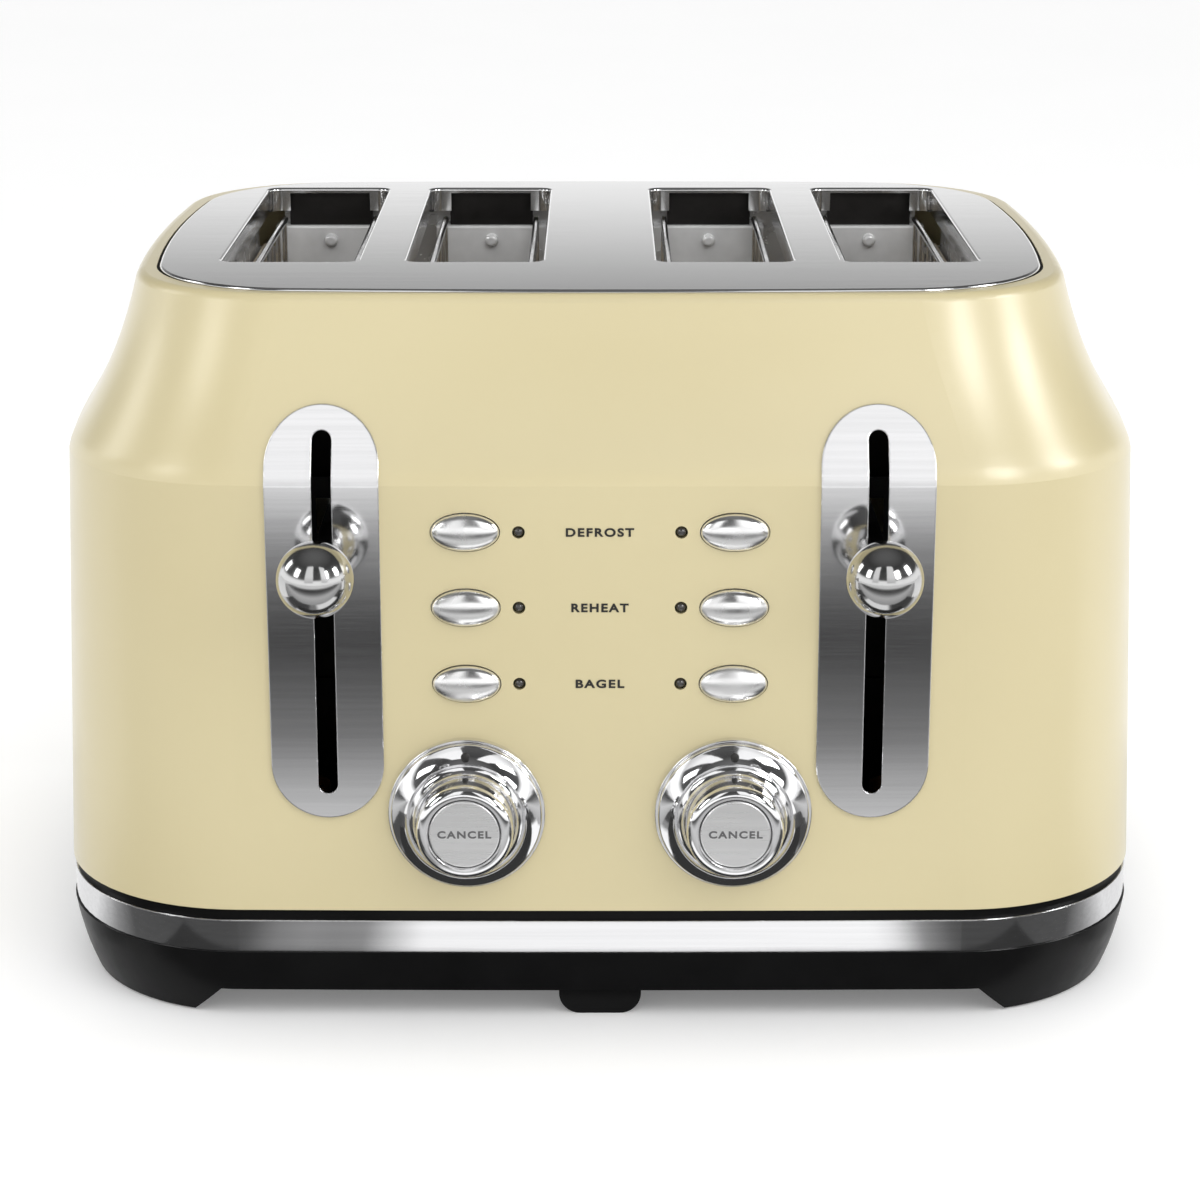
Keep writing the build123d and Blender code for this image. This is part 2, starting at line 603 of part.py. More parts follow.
def dial(side):
    """Browning dial: dished skirt, steep crown with a rounded front, hollow spindle."""
    profile = [Line((3.1, -19.0), (7.6, -19.0)), Line((7.6, -19.0), (7.6, 0.2)),
               Line((7.6, 0.2), (DIAL_R - 0.6, 0.2)),
               ThreePointArc((DIAL_R - 0.6, 0.2), (DIAL_R, 1.0), (DIAL_R - 0.5, 1.9)),
               ThreePointArc((DIAL_R - 0.5, 1.9), (19.8, 2.9), (17.5, 4.9)),
               Line((17.5, 4.9), (17.1, 4.5)), Line((17.1, 4.5), (16.7, 5.1)),
               ThreePointArc((16.7, 5.1), (15.4, 6.1), (14.9, 8.6)),
               Line((14.9, 8.6), (14.3, 14.2)),
               ThreePointArc((14.3, 14.2), (13.5, 15.8), (11.5, 16.6)), Line((11.5, 16.6), (10.9, 16.5)),
               Line((10.9, 16.5), (10.6, 16.0)), Line((10.6, 16.0), (10.6, 7.0)),
               Line((10.6, 7.0), (3.1, 7.0)), Line((3.1, 7.0), (3.1, -19.0))]
    turned = revolve(Plane.XZ * make_face(profile), Axis.Z)
    knob = Pos(side * DIAL_X, SEAT_Y, DIAL_Z) * Rot(90, 0, 0) * turned
    dimple = Pos(side * DIAL_X, SEAT_Y - 4.1, DIAL_Z + 19.2) * Sphere(1.3)
    return knob - dimple


def cancel_button(side):
    x = side * DIAL_X
    cap = rod_y(x, DIAL_Z, SEAT_Y - 9.4, SEAT_Y - 16.4, CANCEL_R)
    cap = fillet(cap.faces().sort_by(Axis.Y)[0].edges(), 0.6)
    return cap + rod_y(x, DIAL_Z, SEAT_Y - 9.4, BOARD_Y[0] - 2.4 - CANCEL_TRAVEL, 2.6)


def control_board(side):
    """Circuit board with three switches, the dial's sensor ring and the cancel switch."""
    board = box(span(side, 13, 61), BOARD_Y, (46, 168))
    for z in BUTTON_ROWS.values():
        board += box(span(side, BUTTON_X - 3, BUTTON_X + 3), (BOARD_Y[0] - 4, BOARD_Y[0]),
                     (z - 3, z + 3))
        board += rod_y(side * BUTTON_X, z, BOARD_Y[0] - 5.4, BOARD_Y[0] - 4, 1.5)
    x = side * DIAL_X
    ring = box((x - 11, x + 11), (BOARD_Y[0] - 4, BOARD_Y[0]), (DIAL_Z - 11, DIAL_Z + 11))
    board += ring - rod_y(x, DIAL_Z, BOARD_Y[0] - 5, BOARD_Y[0], 8.2)
    return board + rod_y(x, DIAL_Z, BOARD_Y[0] - 2.0, BOARD_Y[0], 2.0)


def crumb_tray(side):
    """Shallow pan that pulls out at the back, with an upturned panel and a finger lip."""
    back = -wall_y(70, 40) + 0.6
    x = (TRAY_X[0], TRAY_X[1])
    pan = box(span(side, *x), (TRAY_FRONT_Y, back), (TRAY_Z[0] - 1, TRAY_Z[1] - 3))
    pan -= box(span(side, x[0] + 0.8, x[1] - 0.8), (TRAY_FRONT_Y + 0.8, back - 0.8),
               (TRAY_Z[0] - 0.2, TRAY_Z[1]))
    panel = box(span(side, *x), (back, back + 1.4), (DECK_Z[1] + 0.4, TRAY_Z[1] + 0.8))
    lip = box(span(side, 46, 87), (back + 1.4, back + 7), (TRAY_Z[1] - 0.8, TRAY_Z[1] + 0.8))
    lip = fillet(lip.edges().filter_by(Axis.Z).sort_by(Axis.Y)[-2:], 4.0)
    return pan + panel + lip


# ---- all nodes ----
def nodes():
    made = {
        "body_shell": body_shell(), "top_plate": top_plate(), "top_gasket": top_gasket(),
        "base_moulding": base_moulding(), "base_trim_band": base_trim_band(), "deck_plate": deck(),
        "base_screws": base_screws(), "foot_pads": foot_pads(), "centre_feet": centre_feet(),
        "cord_gland": cord_gland(), "end_reflectors": end_reflectors(), "slot_backs": slot_backs(),
        "guide_rods": guide_rods(), "electromagnets": electromagnets(),
        "indicator_leds": indicator_leds(), "dial_seats": dial_seats(),
    }
    for name, make in (("lever_plate", lever_plate), ("chamber", chamber),
                       ("heater_boards", heater_boards), ("heater_wires", heater_wires),
                       ("control_board", control_board), ("carriage_bracket", carriage_bracket),
                       ("lever_arm", lever_arm), ("lever_ball", lever_ball),
                       ("latch_keeper", latch_keeper), ("carriage_spring", carriage_spring),
                       ("dial", dial), ("cancel_button", cancel_button),
                       ("crumb_tray", crumb_tray)):
        for hand, piece in both(make).items():
            made[f"{name}_{hand}"] = piece
    for name, z in BUTTON_ROWS.items():
        for hand, side in (("left", -1), ("right", 1)):
            made[f"{name}_button_{hand}"] = function_button(side, z)
    for number, _, x in slots():
        made[f"bread_rack_{number}"] = bread_rack(x)
        for hand, wall in (("left", -1), ("right", 1)):
            made[f"bread_guide_{number}_{hand}"] = bread_guide(x, wall)
    return made


os.makedirs("parts", exist_ok=True)
for name, shape in nodes().items():
    export_step(shape, f"parts/{name}.step")
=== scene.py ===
"""Looks of the four-slot pop-up toaster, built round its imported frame. Metres, +Z up, front at -Y."""

import json
import math

import bmesh
import bpy
from mathutils import Matrix, Vector


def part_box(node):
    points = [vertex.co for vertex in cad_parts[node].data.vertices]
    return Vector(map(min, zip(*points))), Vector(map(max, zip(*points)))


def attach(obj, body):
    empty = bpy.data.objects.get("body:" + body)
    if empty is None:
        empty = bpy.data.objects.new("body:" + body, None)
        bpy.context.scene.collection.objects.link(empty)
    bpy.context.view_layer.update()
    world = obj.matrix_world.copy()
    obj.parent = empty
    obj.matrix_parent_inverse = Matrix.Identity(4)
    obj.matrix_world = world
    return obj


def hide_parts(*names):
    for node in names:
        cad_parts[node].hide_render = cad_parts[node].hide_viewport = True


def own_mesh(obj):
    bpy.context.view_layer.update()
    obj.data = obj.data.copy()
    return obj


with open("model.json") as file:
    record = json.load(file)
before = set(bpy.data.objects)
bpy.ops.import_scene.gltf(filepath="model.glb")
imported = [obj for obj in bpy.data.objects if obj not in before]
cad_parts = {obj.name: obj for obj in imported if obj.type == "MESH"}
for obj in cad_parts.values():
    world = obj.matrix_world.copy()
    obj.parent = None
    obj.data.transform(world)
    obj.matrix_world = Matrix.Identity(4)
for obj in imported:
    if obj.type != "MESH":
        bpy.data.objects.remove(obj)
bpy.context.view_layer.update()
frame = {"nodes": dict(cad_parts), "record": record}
NODES = frame["nodes"]
MM = 0.001
HANDS = ("left", "right")
SIDES = (("left", -1), ("right", 1))
BUTTONS = ("defrost", "reheat", "bagel")
CREASE_Z, CREASE_Y = 167.3 * MM, -126.1 * MM      # where the front wall meets the shoulder
FRONT_WALL = -0.1295                              # the front wall at the height of the dials
DIAL_SEAT_Y = -0.131                              # the plane that the dials turn on
DOT_OUT = 19.2 * MM                               # the dial's dimple, from its axis
LEGEND_WIDTH = {"defrost": 19.8 * MM, "reheat": 16.7 * MM, "bagel": 14.3 * MM}
LEGEND_HEIGHT = 2.6 * MM
CANCEL_LEGEND = (15.7 * MM, 2.3 * MM)             # width and height
LETTER_RELIEF = 0.12 * MM
WORLD_LIGHT = 0.95


# ---- node helpers ----
class Surface:
    """One material with its node tree and shader, and short names for the nodes used here."""

    def __init__(self, name, **sockets):
        self.material = bpy.data.materials.new(name)
        self.material.use_nodes = True
        self.tree = self.material.node_tree
        self.shader = self.tree.nodes["Principled BSDF"]
        for socket, value in sockets.items():
            self.shader.inputs[socket.replace("_", " ")].default_value = value
        self.place = self.tree.nodes.new("ShaderNodeTexCoord").outputs["Object"]

    def add(self, kind, inputs=None, **settings):
        node = self.tree.nodes.new(kind)
        for key, value in settings.items():
            setattr(node, key, value)
        for key, value in (inputs or {}).items():
            if isinstance(value, bpy.types.NodeSocket):
                self.tree.links.new(value, node.inputs[key])
            else:
                node.inputs[key].default_value = value
        return node

    def noise(self, scale, detail=3.0, stretch=(1, 1, 1), roughness=0.5):
        """Noise whose features are about 1 / scale metres across, stretched along an axis by a factor."""
        mapped = self.add("ShaderNodeMapping", {"Vector": self.place, "Scale": [1 / s for s in stretch]})
        inputs = {"Vector": mapped.outputs[0], "Scale": scale, "Detail": detail, "Roughness": roughness}
        return self.add("ShaderNodeTexNoise", inputs).outputs["Fac"]

    def spread(self, value, low, high):
        """Maps noise, which mostly lies between 0.3 and 0.7, on to low..high."""
        inputs = {"Value": value, "From Min": 0.3, "From Max": 0.7, "To Min": low, "To Max": high}
        return self.add("ShaderNodeMapRange", inputs).outputs[0]

    def tint(self, value, first, second):
        """Colour from first to second as the value goes from 0.3 to 0.7."""
        ramp = self.add("ShaderNodeValToRGB", {"Fac": value})
        ramp.color_ramp.elements[0].position = 0.3
        ramp.color_ramp.elements[1].position = 0.7
        ramp.color_ramp.elements[0].color = (*first, 1)
        ramp.color_ramp.elements[1].color = (*second, 1)
        return ramp.outputs["Color"]

    def drive(self, socket, output):
        self.tree.links.new(output, self.shader.inputs[socket])

    def bump(self, height, depth, strength=1.0, edge=0.0):
        """Surface relief of the given depth in metres; an edge radius also softens the sharp edges."""
        inputs = {"Height": height, "Distance": depth, "Strength": strength}
        if edge:
            inputs["Normal"] = self.add("ShaderNodeBevel", {"Radius": edge}, samples=4).outputs[0]
        self.drive("Normal", self.add("ShaderNodeBump", inputs).outputs[0])


def painted_enamel():
    """Cream enamel on pressed steel: satin, a trace of orange peel, slightly uneven in tone."""
    s = Surface("cream_paint", Coat_Weight=0.9, Coat_Roughness=0.28)
    tone = s.noise(9, 2)
    s.drive("Base Color", s.tint(tone, (0.588, 0.510, 0.292), (0.606, 0.530, 0.308)))
    s.drive("Roughness", s.spread(s.noise(60, 3), 0.36, 0.42))
    s.bump(s.noise(650, 2), 0.00002, 0.5)
    return s.material


def brushed(name, colour, rough, along, depth=0.000004, edge=0.0):
    """Brushed metal: fine scratches along one axis, with a few longer ones."""
    stretch = [1, 1, 1]
    stretch["XYZ".index(along)] = 60
    s = Surface(name, Metallic=1.0)
    fine = s.noise(2600, 2, stretch)
    long = s.noise(700, 2, [v * 2 if v > 1 else v for v in stretch])
    darker = [c * 0.93 for c in colour]
    s.drive("Base Color", s.tint(long, darker, colour))
    s.drive("Roughness", s.spread(fine, rough * 0.85, rough * 1.2))
    s.bump(fine, depth, 0.6, edge)
    return s.material


def polished(name, colour=(0.86, 0.86, 0.87), rough=0.05):
    """Polished or plated metal with faint smudges and hairlines."""
    s = Surface(name, Metallic=1.0)
    s.drive("Base Color", s.tint(s.noise(30, 2), [c * 0.97 for c in colour], colour))
    s.drive("Roughness", s.spread(s.noise(90, 4), rough * 0.6, rough * 1.6))
    s.bump(s.noise(1800, 2, (1, 1, 20)), 0.0000006, 0.3, 0.00025)
    return s.material


def moulded(name, colour, rough, grain=900, depth=0.00003):
    """Moulded plastic or rubber with a fine spark-eroded grain."""
    s = Surface(name, Specular_IOR_Level=0.08)
    s.drive("Base Color", s.tint(s.noise(40, 2), colour, [min(1, c * 1.35) for c in colour]))
    s.drive("Roughness", s.spread(s.noise(160, 3), rough * 0.9, rough * 1.12))
    s.bump(s.noise(grain, 3), depth, 0.5)
    return s.material


def sheet_metal(name, colour, rough, metallic=1.0):
    """Aluminised sheet: soft spangle, faint heat tint and stains."""
    s = Surface(name, Metallic=metallic)
    s.drive("Base Color", s.tint(s.noise(55, 4), [c * 0.75 for c in colour], colour))
    s.drive("Roughness", s.spread(s.noise(220, 3), rough * 0.75, rough * 1.3))
    s.bump(s.noise(400, 2), 0.00001, 0.4)
    return s.material


def mica():
    s = Surface("mica_board")
    s.drive("Base Color", s.tint(s.noise(120, 5), (0.42, 0.35, 0.26), (0.60, 0.54, 0.44)))
    s.drive("Roughness", s.spread(s.noise(90, 3), 0.35, 0.6))
    s.bump(s.noise(600, 3, (1, 3, 3)), 0.00004, 0.6)
    return s.material


def circuit():
    s = Surface("circuit_board", Coat_Weight=0.3)
    s.drive("Base Color", s.tint(s.noise(500, 2), (0.012, 0.09, 0.03), (0.02, 0.14, 0.05)))
    s.drive("Roughness", s.spread(s.noise(120, 2), 0.3, 0.45))
    s.bump(s.noise(900, 2), 0.00002, 0.5)
    return s.material


def smoked_lens():
    s = Surface("led_lens", Coat_Weight=1.0, Coat_Roughness=0.05, IOR=1.55)
    s.drive("Base Color", s.tint(s.noise(900, 2), (0.018, 0.017, 0.016), (0.04, 0.037, 0.035)))
    s.drive("Roughness", s.spread(s.noise(500, 2), 0.1, 0.2))
    s.bump(s.noise(1500, 1), 0.000004, 0.3)
    return s.material


def winding():
    """Enamelled copper wire, wound round the magnet's core."""
    s = Surface("coil_winding", Metallic=1.0)
    wave = s.add("ShaderNodeTexWave", {"Vector": s.place, "Scale": 500.0}, bands_direction="Z")
    s.drive("Base Color", s.tint(s.noise(200, 2), (0.45, 0.16, 0.05), (0.62, 0.26, 0.09)))
    s.drive("Roughness", s.spread(s.noise(300, 2), 0.25, 0.4))
    s.bump(wave.outputs["Fac"], 0.0001, 0.7)
    return s.material


def legend_ink(name, colour):
    """Screen-printed ink, a touch uneven at its surface."""
    s = Surface(name)
    s.drive("Base Color", s.tint(s.noise(800, 2), colour, [c * 1.4 for c in colour]))
    s.drive("Roughness", s.spread(s.noise(900, 2), 0.4, 0.55))
    s.bump(s.noise(2500, 2), 0.000006, 0.4)
    return s.material


MATERIALS = {
    "cream_paint": painted_enamel(),
    "brushed_top": brushed("brushed_top", (0.78, 0.78, 0.78), 0.13, "X"),
    "black_rubber": moulded("black_rubber", (0.010, 0.010, 0.010), 0.62, 700),
    "black_moulding": moulded("black_moulding", (0.0050, 0.0050, 0.0052), 0.34, 1100, 0.00002),
    "polished_trim": brushed("polished_trim", (0.82, 0.82, 0.83), 0.09, "X", 0.0000004, 0.0006),
    "sheet_steel": sheet_metal("sheet_steel", (0.80, 0.80, 0.80), 0.24, 0.6),
    "bright_reflector": sheet_metal("bright_reflector", (0.92, 0.92, 0.92), 0.16, 0.25),
    # dark_panel: near-black sheet; the painted-shade sheets behind the lever slots use it
    "dark_panel": sheet_metal("dark_panel", (0.035, 0.033, 0.032), 0.5),
    "dark_screw": sheet_metal("dark_screw", (0.10, 0.10, 0.10), 0.35),
    "rod_steel": polished("rod_steel", (0.7, 0.7, 0.7), 0.12),
    "coil_winding": winding(),
    "led_lens": smoked_lens(),
    "mica_board": mica(),
    "heater_ribbon": sheet_metal("heater_ribbon", (0.33, 0.30, 0.28), 0.4),
    "circuit_board": circuit(),
    # carriage_steel: near-black colour is painted shade, so the carriage and racks seen through the slots look
    # dark
    "carriage_steel": brushed("carriage_steel", (0.06, 0.06, 0.06), 0.5, "Y"),
    "spring_wire": polished("spring_wire", (0.55, 0.55, 0.57), 0.2),
    "chrome": polished("chrome", rough=0.07),
    "satin_chrome": brushed("satin_chrome", (0.88, 0.88, 0.88), 0.30, "X", 0.000002),
    "guide_wire": polished("guide_wire", (0.72, 0.72, 0.72), 0.15),
}
SLOT_OF = {part["node"]: part["material_slot"] for part in frame["record"]["subparts"]}
SOFT_CHROME = polished("soft_chrome", (0.96, 0.96, 0.96), 0.23)
DARK_CHROME = polished("dark_chrome", (0.56, 0.56, 0.56), 0.11)
FINISH_OF = {f"{word}_button_{hand}": SOFT_CHROME for word in BUTTONS for hand in HANDS}
FINISH_OF.update({f"lever_ball_{hand}": DARK_CHROME for hand in HANDS})
FINISH_OF.update({f"lever_arm_{hand}": DARK_CHROME for hand in HANDS})
for node, thing in NODES.items():
    thing.data.materials.clear()
    thing.data.materials.append(FINISH_OF.get(node, MATERIALS[SLOT_OF[node]]))


# ---- pieces that the frame doesn't have ----
def add_piece(name, mesh, material, body):
    piece = bpy.data.objects.new(name, mesh)
    bpy.context.scene.collection.objects.link(piece)
    piece.data.materials.append(material)
    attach(piece, body)
    return piece


def lettering(name, words, width, height, place, lean, material, body):
    """Flat raised words facing the front, fitted to a width and height about a place on a leaning face."""
    curve = bpy.data.curves.new(name, "FONT")
    curve.body = words
    curve.align_x = "CENTER"
    curve.align_y = "CENTER"
    curve.space_character = 1.22
    curve.offset = 0.034
    curve.extrude = 0.02
    curve.resolution_u = 8
    shape = bpy.data.objects.new(name + "_outline", curve)
    mesh = bpy.data.meshes.new_from_object(shape)
    bpy.data.objects.remove(shape)
    xs = [v.co.x for v in mesh.vertices]
    ys = [v.co.y for v in mesh.vertices]
    zs = [v.co.z for v in mesh.vertices]
    centre = Matrix.Translation((-(min(xs) + max(xs)) / 2, -(min(ys) + max(ys)) / 2, 0))
    fit = Matrix.Diagonal((width / (max(xs) - min(xs)), height / (max(ys) - min(ys)),
                           LETTER_RELIEF / (max(zs) - min(zs)), 1))
    stand = Matrix.Rotation(math.radians(90) - lean, 4, "X")
    mesh.transform(Matrix.Translation(place) @ stand @ fit @ centre)
    mesh.materials.clear()
    return add_piece(name, mesh, material, body)


INK = legend_ink("legend_ink", (0.012, 0.011, 0.010))
GREY_INK = legend_ink("grey_ink", (0.075, 0.075, 0.078))
body_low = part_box("body_shell")[0]
wall_lean = math.atan2(CREASE_Y - body_low[1], CREASE_Z - body_low[2])


def front_wall_y(z):
    """The front wall's y in the middle, at a height below the crease."""
    return CREASE_Y - (CREASE_Z - z) * math.tan(wall_lean)


for word in BUTTONS:
    button_low, button_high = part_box(f"{word}_button_right")
    z = (button_low[2] + button_high[2]) / 2
    lettering(f"{word}_legend", word.upper(), LEGEND_WIDTH[word], LEGEND_HEIGHT,
              (0, front_wall_y(z) - 0.05 * MM, z), wall_lean, INK, "housing")

for hand in HANDS:
    cap_low, cap_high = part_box(f"cancel_button_{hand}")
    cap_x = (cap_low[0] + cap_high[0]) / 2
    cap_z = (cap_low[2] + cap_high[2]) / 2
    lettering(f"cancel_legend_{hand}", "CANCEL", *CANCEL_LEGEND,
              (cap_x, cap_low[1] - 0.02 * MM, cap_z), 0, GREY_INK, f"cancel_button_{hand}")


def dial_centre(hand):
    """Middle of a dial on the plane that it turns on."""
    dial_low, dial_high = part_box(f"dial_{hand}")
    return Vector(((dial_low[0] + dial_high[0]) / 2, DIAL_SEAT_Y, (dial_low[2] + dial_high[2]) / 2))


def finished(name, form):
    """Mesh made from a bmesh, which is then freed."""
    mesh = bpy.data.meshes.new(name)
    form.to_mesh(mesh)
    form.free()
    return mesh


def pointer_dot(hand, radius=1.35 * MM):
    """Black dot of paint lying in the dial's dimple."""
    place = dial_centre(hand) + Vector((0, -3.35 * MM, DOT_OUT))
    form = bmesh.new()
    bmesh.ops.create_uvsphere(form, u_segments=32, v_segments=16, radius=radius)
    bmesh.ops.scale(form, vec=(1, 0.45, 1), verts=form.verts)
    bmesh.ops.translate(form, vec=place, verts=form.verts)
    for face in form.faces:
        face.smooth = True
    add_piece(f"dial_dot_{hand}", finished(f"dial_dot_{hand}", form), INK, f"dial_{hand}")


for hand in HANDS:
    pointer_dot(hand)


def dial_bezels(radius=23.3, hole=10.8, edge=0.4, steps=160):
    """Chrome rings that stand a few millimetres out from the wall behind the dials; sizes in mm."""
    rim = []
    for number in range(7):
        angle = number / 6 * math.pi / 2
        rim.append((radius - edge + edge * math.cos(angle), 0.45 - edge * math.sin(angle)))
    form = bmesh.new()
    for hand in HANDS:
        middle = dial_centre(hand)
        rings = []
        for number in range(steps):
            angle = number / steps * math.tau
            out = Vector((math.cos(angle), 0, math.sin(angle)))
            ring = []
            for away, depth in [(hole, None), (radius, None), *rim, (hole, -0.1)]:
                place = middle + out * away * MM
                if depth is None:
                    place.y = front_wall_y(place.z) + 0.6 * MM
                else:
                    place.y += depth * MM
                ring.append(form.verts.new(place))
            rings.append(ring)
        for number in range(steps):
            here, there = rings[number], rings[number - 1]
            for corner in range(len(here)):
                face = form.faces.new((here[corner - 1], here[corner], there[corner], there[corner - 1]))
                face.smooth = 3 <= corner <= 8
    bmesh.ops.recalc_face_normals(form, faces=form.faces)
    bezels = add_piece("dial_bezels", finished("dial_bezels", form), MATERIALS["chrome"], "housing")
    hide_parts("dial_seats")


dial_bezels()


# ---- painted shade behind the lever slots ----
def slot_shade(hand):
    """Painted shade: black sheets on the front wall of a unit's box, so that no light shows through the lever
    slot.
    """
    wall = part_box(f"chamber_{hand}")[0][1] - 0.35 * MM
    arm_low, arm_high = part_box(f"lever_arm_{hand}")
    x = (arm_low[0] + arm_high[0]) / 2
    form = bmesh.new()
    for y, low_z, high_z in ((wall, 36 * MM, 81 * MM), (wall, 87 * MM, 206 * MM),
                             (wall - 2.6 * MM, 78 * MM, 90 * MM)):
        panel = bmesh.ops.create_cube(form, size=1.0)["verts"]
        bmesh.ops.scale(form, vec=(22 * MM, 0.4 * MM, high_z - low_z), verts=panel)
        bmesh.ops.translate(form, vec=(x, y, (low_z + high_z) / 2), verts=panel)
    add_piece(f"slot_shade_{hand}", finished(f"slot_shade_{hand}", form), MATERIALS["dark_panel"], "housing")


for hand in HANDS:
    slot_shade(hand)


# ---- coil springs round the guide rods ----
def coil_spring(hand, turns=11, wire=0.55 * MM, steps=28, corners=8):
    """Coil round the guide rod, standing on its foot under the carriage, which presses it together."""
    node = f"carriage_spring_{hand}"
    foot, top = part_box(node)
    middle = Vector(((foot[0] + top[0]) / 2, (foot[1] + top[1]) / 2, 0))
    radius = (top[0] - foot[0]) / 2 - wire
    rise = (top[2] - foot[2] - 2 * wire) / turns
    form = bmesh.new()
    last = None
    for step in range(turns * steps + 1):
        turn = step / steps
        out = Vector((math.cos(turn * math.tau), math.sin(turn * math.tau), 0))
        centre = middle + out * radius + Vector((0, 0, foot[2] + wire + rise * turn))
        ring = []
        for corner in range(corners):
            angle = corner / corners * math.tau
            lift = Vector((0, 0, math.sin(angle)))
            ring.append(form.verts.new(centre + wire * (out * math.cos(angle) + lift)))
        if last:
            for corner in range(corners):
                after = (corner + 1) % corners
                form.faces.new((last[corner], ring[corner], ring[after], last[after]))
        else:
            form.faces.new(ring)
        last = ring
    form.faces.new(reversed(last))
    bmesh.ops.recalc_face_normals(form, faces=form.faces)
    for face in form.faces:
        face.smooth = len(face.verts) == 4
    name = f"coil_spring_{hand}"
    spring = add_piece(name, finished(name, form), MATERIALS["spring_wire"], "housing")
    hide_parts(node)
    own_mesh(spring)


for hand in HANDS:
    coil_spring(hand)


# ---- studio ----
def sheet(name, corners, material):
    """Four-cornered flat sheet standing in the studio."""
    mesh = bpy.data.meshes.new(name)
    mesh.from_pydata(corners, [], [(0, 1, 2, 3)])
    plane = bpy.data.objects.new(name, mesh)
    bpy.context.scene.collection.objects.link(plane)
    mesh.materials.append(material)
    return plane


def floor():
    s = Surface("floor_paper", Roughness=0.75, Emission_Color=(1, 1, 1, 1), Emission_Strength=0.16)
    s.drive("Base Color", s.tint(s.noise(6, 3), (0.89, 0.89, 0.89), (0.90, 0.90, 0.90)))
    s.bump(s.noise(300, 2), 0.00003, 0.3)
    return sheet("floor", [(-9, -9, 0), (9, -9, 0), (9, 9, 0), (-9, 9, 0)], s.material)


def glow(name, axis, stops):
    """Light-giving card whose brightness changes along one axis: stops are (metres, brightness)."""
    material = bpy.data.materials.new(name)
    material.use_nodes = True
    tree = material.node_tree
    tree.nodes.clear()
    split = tree.nodes.new("ShaderNodeSeparateXYZ")
    tree.links.new(tree.nodes.new("ShaderNodeTexCoord").outputs["Object"], split.inputs[0])
    first, last = stops[0][0], stops[-1][0]
    spread = tree.nodes.new("ShaderNodeMapRange")
    spread.inputs["From Min"].default_value = first
    spread.inputs["From Max"].default_value = last
    tree.links.new(split.outputs[axis], spread.inputs["Value"])
    ramp = tree.nodes.new("ShaderNodeValToRGB")
    tree.links.new(spread.outputs[0], ramp.inputs["Fac"])
    marks = ramp.color_ramp.elements
    for number, (at, level) in enumerate(stops):
        place = (at - first) / (last - first)
        mark = marks[number] if number < 2 else marks.new(place)
        mark.position = place
        mark.color = (level, level, level, 1)
    lamp = tree.nodes.new("ShaderNodeEmission")
    tree.links.new(ramp.outputs["Color"], lamp.inputs["Color"])
    tree.links.new(lamp.outputs[0], tree.nodes.new("ShaderNodeOutputMaterial").inputs["Surface"])
    return material


def reflection_card(name, corners, material):
    """Card that shows only in shiny surfaces, and neither lights nor shades anything else."""
    card = sheet(name, corners, material)
    card.visible_camera = False
    card.visible_diffuse = False
    card.visible_shadow = False
    card.visible_transmission = False
    card.visible_volume_scatter = False


def table_patch(name, x, y, z, axis, stops):
    """Reflection card lying just above the table."""
    reflection_card(name, [(x[0], y[0], z), (x[1], y[0], z), (x[1], y[1], z), (x[0], y[1], z)],
                    glow(name + "_glow", axis, stops))


def front_cards():
    """Bright and dark stretches of table, seen in the lever plates, the trim band and the dials."""
    levels = ((3.0, 0.9), (1.0, 0.95), (0.845, 0.93), (0.80, 0.72), (0.75, 0.50), (0.70, 0.31), (0.53, 0.08),
              (0.46, 0.055), (0.31, 0.21), (0.24, 0.50), (0.20, 0.68), (0.16, 0.60), (0.08, 0.40), (0.02, 0.32))
    table_patch("table_card", (-1.6, 1.6), (FRONT_WALL - 3.0, FRONT_WALL - 0.02), 0.001, "Y",
                [(FRONT_WALL - away, level) for away, level in levels])
    levels = ((-0.3, 0.08), (-0.13, 0.08), (-0.116, 0.10), (-0.106, 0.25), (-0.096, 0.31), (-0.087, 0.29),
              (-0.077, 0.31), (-0.067, 0.74), (-0.058, 1.12), (0.090, 1.15), (0.097, 0.96), (0.106, 0.31),
              (0.116, 0.11), (0.125, 0.075), (0.3, 0.08))
    near, side_x = FRONT_WALL - 0.045, 0.172
    table_patch("trim_card", (-0.3, 0.3), (FRONT_WALL - 0.1, near), 0.002, "X", levels)
    dark = ((-side_x, 0.04), (side_x, 0.04))
    table_patch("foot_card", (-side_x, side_x), (near, FRONT_WALL), 0.003, "X", dark)
    levels = ((near, 0.08), (-0.128, 0.10), (-0.108, 0.30), (-0.075, 0.9), (0.1, 0.9))
    for hand, side in SIDES:
        table_patch(f"corner_card_{hand}", (side * side_x, side * 0.3), (near, 0.1), 0.002, "Y", levels)


def upright_strips():
    """Two tall bright strips in front, seen in the leaning tops of the lever plates."""
    stops = ((0.185, 0.74), (0.225, 0.86), (0.30, 1.08), (0.66, 1.12))
    foot, top = stops[0][0], stops[-1][0]
    for hand, side in SIDES:
        near, far = side * 0.08, side * 0.25
        reflection_card(f"strip_card_{hand}", [(near, -0.5, foot), (far, -0.5, foot),
                                               (far, -0.5, top), (near, -0.5, top)],
                        glow(f"strip_glow_{hand}", "Z", stops))


def rear_card():
    """Wall behind, bright low down, seen in the brushed top."""
    stops = ((0.0, 1.2), (0.30, 1.2), (0.345, 0.74), (0.38, 0.27), (0.6, 0.2))
    reflection_card("rear_card", [(-1.5, 0.7, 0.0), (1.5, 0.7, 0.0), (1.5, 0.7, 0.6), (-1.5, 0.7, 0.6)],
                    glow("rear_glow", "Z", stops))


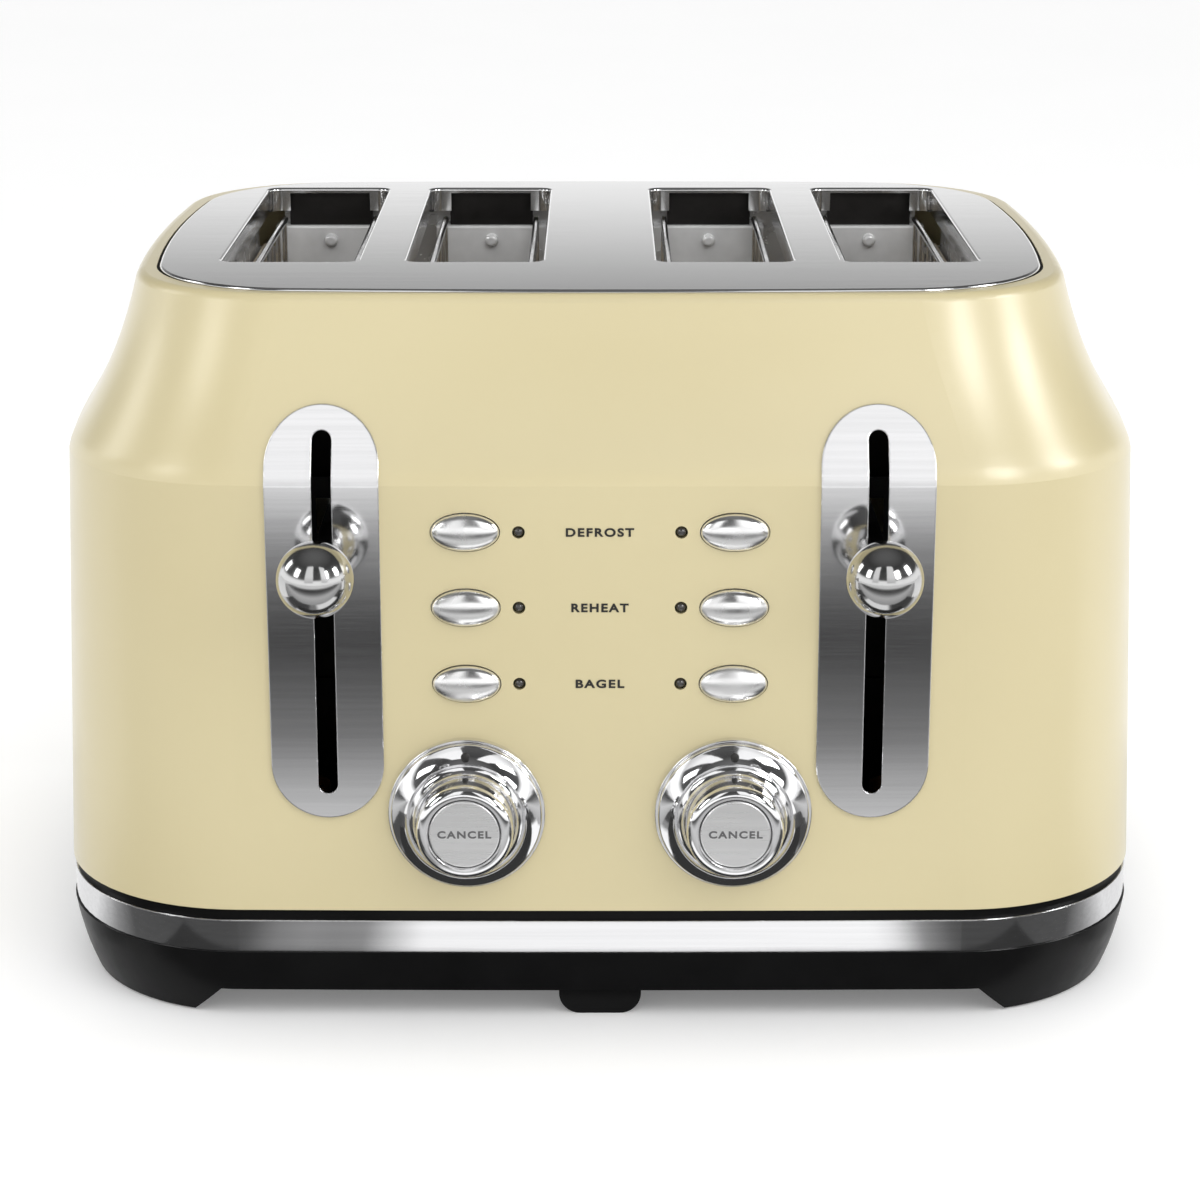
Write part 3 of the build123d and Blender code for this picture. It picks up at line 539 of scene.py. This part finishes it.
def softbox(name, azimuth, elevation, distance, size, power, glossy=True, diffuse=True):
    """Rectangular light that faces the toaster; azimuth from the front, positive to the right."""
    light = bpy.data.lights.new(name, "AREA")
    light.shape = "RECTANGLE"
    light.size, light.size_y = size
    light.energy = power
    lamp = bpy.data.objects.new(name, light)
    bpy.context.scene.collection.objects.link(lamp)
    a, e = math.radians(azimuth), math.radians(elevation)
    aim = Vector((0, 0, 0.12))
    outward = Vector((math.sin(a) * math.cos(e), -math.cos(a) * math.cos(e), math.sin(e)))
    lamp.location = aim + distance * outward
    lamp.rotation_euler = (aim - lamp.location).to_track_quat("-Z", "Y").to_euler()
    lamp.visible_glossy = glossy
    lamp.visible_diffuse = diffuse


def studio_world():
    """Even white light on matt surfaces; shiny ones see a bright horizon under a dark ceiling."""
    world = bpy.data.worlds.new("studio")
    bpy.context.scene.world = world
    world.use_nodes = True
    tree = world.node_tree
    even = tree.nodes["Background"]
    even.inputs["Color"].default_value = (1, 1, 1, 1)
    even.inputs["Strength"].default_value = WORLD_LIGHT
    place = tree.nodes.new("ShaderNodeTexCoord")
    split = tree.nodes.new("ShaderNodeSeparateXYZ")
    ramp = tree.nodes.new("ShaderNodeValToRGB")
    stops = ramp.color_ramp.elements
    stops[0].position, stops[0].color = 0.0, (1.3, 1.3, 1.3, 1)
    stops[1].position, stops[1].color = 1.0, (0.16, 0.16, 0.16, 1)
    for at, level in ((0.17, 1.3), (0.27, 0.10), (0.75, 0.06)):
        stops.new(at).color = (level, level, level, 1)
    tree.links.new(place.outputs["Generated"], split.inputs[0])
    tree.links.new(split.outputs["Z"], ramp.inputs[0])
    shown = tree.nodes.new("ShaderNodeBackground")
    tree.links.new(ramp.outputs["Color"], shown.inputs["Color"])
    shiny = tree.nodes.new("ShaderNodeLightPath").outputs["Is Glossy Ray"]
    mix = tree.nodes.new("ShaderNodeMixShader")
    tree.links.new(shiny, mix.inputs[0])
    tree.links.new(even.outputs[0], mix.inputs[1])
    tree.links.new(shown.outputs[0], mix.inputs[2])
    tree.links.new(mix.outputs[0], tree.nodes["World Output"].inputs["Surface"])


floor()
front_cards()
upright_strips()
rear_card()
studio_world()
for name, azimuth, power in (("window_far_left", -97, 1.9), ("window_left", -53, 2.5),
                             ("window_right", 35, 6.0), ("window_far_right", 74, 6.0)):
    softbox(name, azimuth, 26, 1.5, (0.34, 0.5), power, diffuse=False)
softbox("fill_right", 50, 30, 1.6, (0.8, 0.8), 3.2, glossy=False)
softbox("overhead", 14, 52, 1.6, (1.0, 1.0), 5.5, glossy=False)

bpy.context.scene.view_settings.view_transform = "Standard"

camera = bpy.data.objects.new("camera", bpy.data.cameras.new("camera"))
bpy.context.scene.collection.objects.link(camera)
camera.location = (0, -0.9417, 0.3825)
camera.rotation_euler = (math.radians(90 - 17), 0, 0)
camera.data.lens = 87.8
camera.data.sensor_width = 36
camera.data.clip_start = 0.01
bpy.context.scene.camera = camera
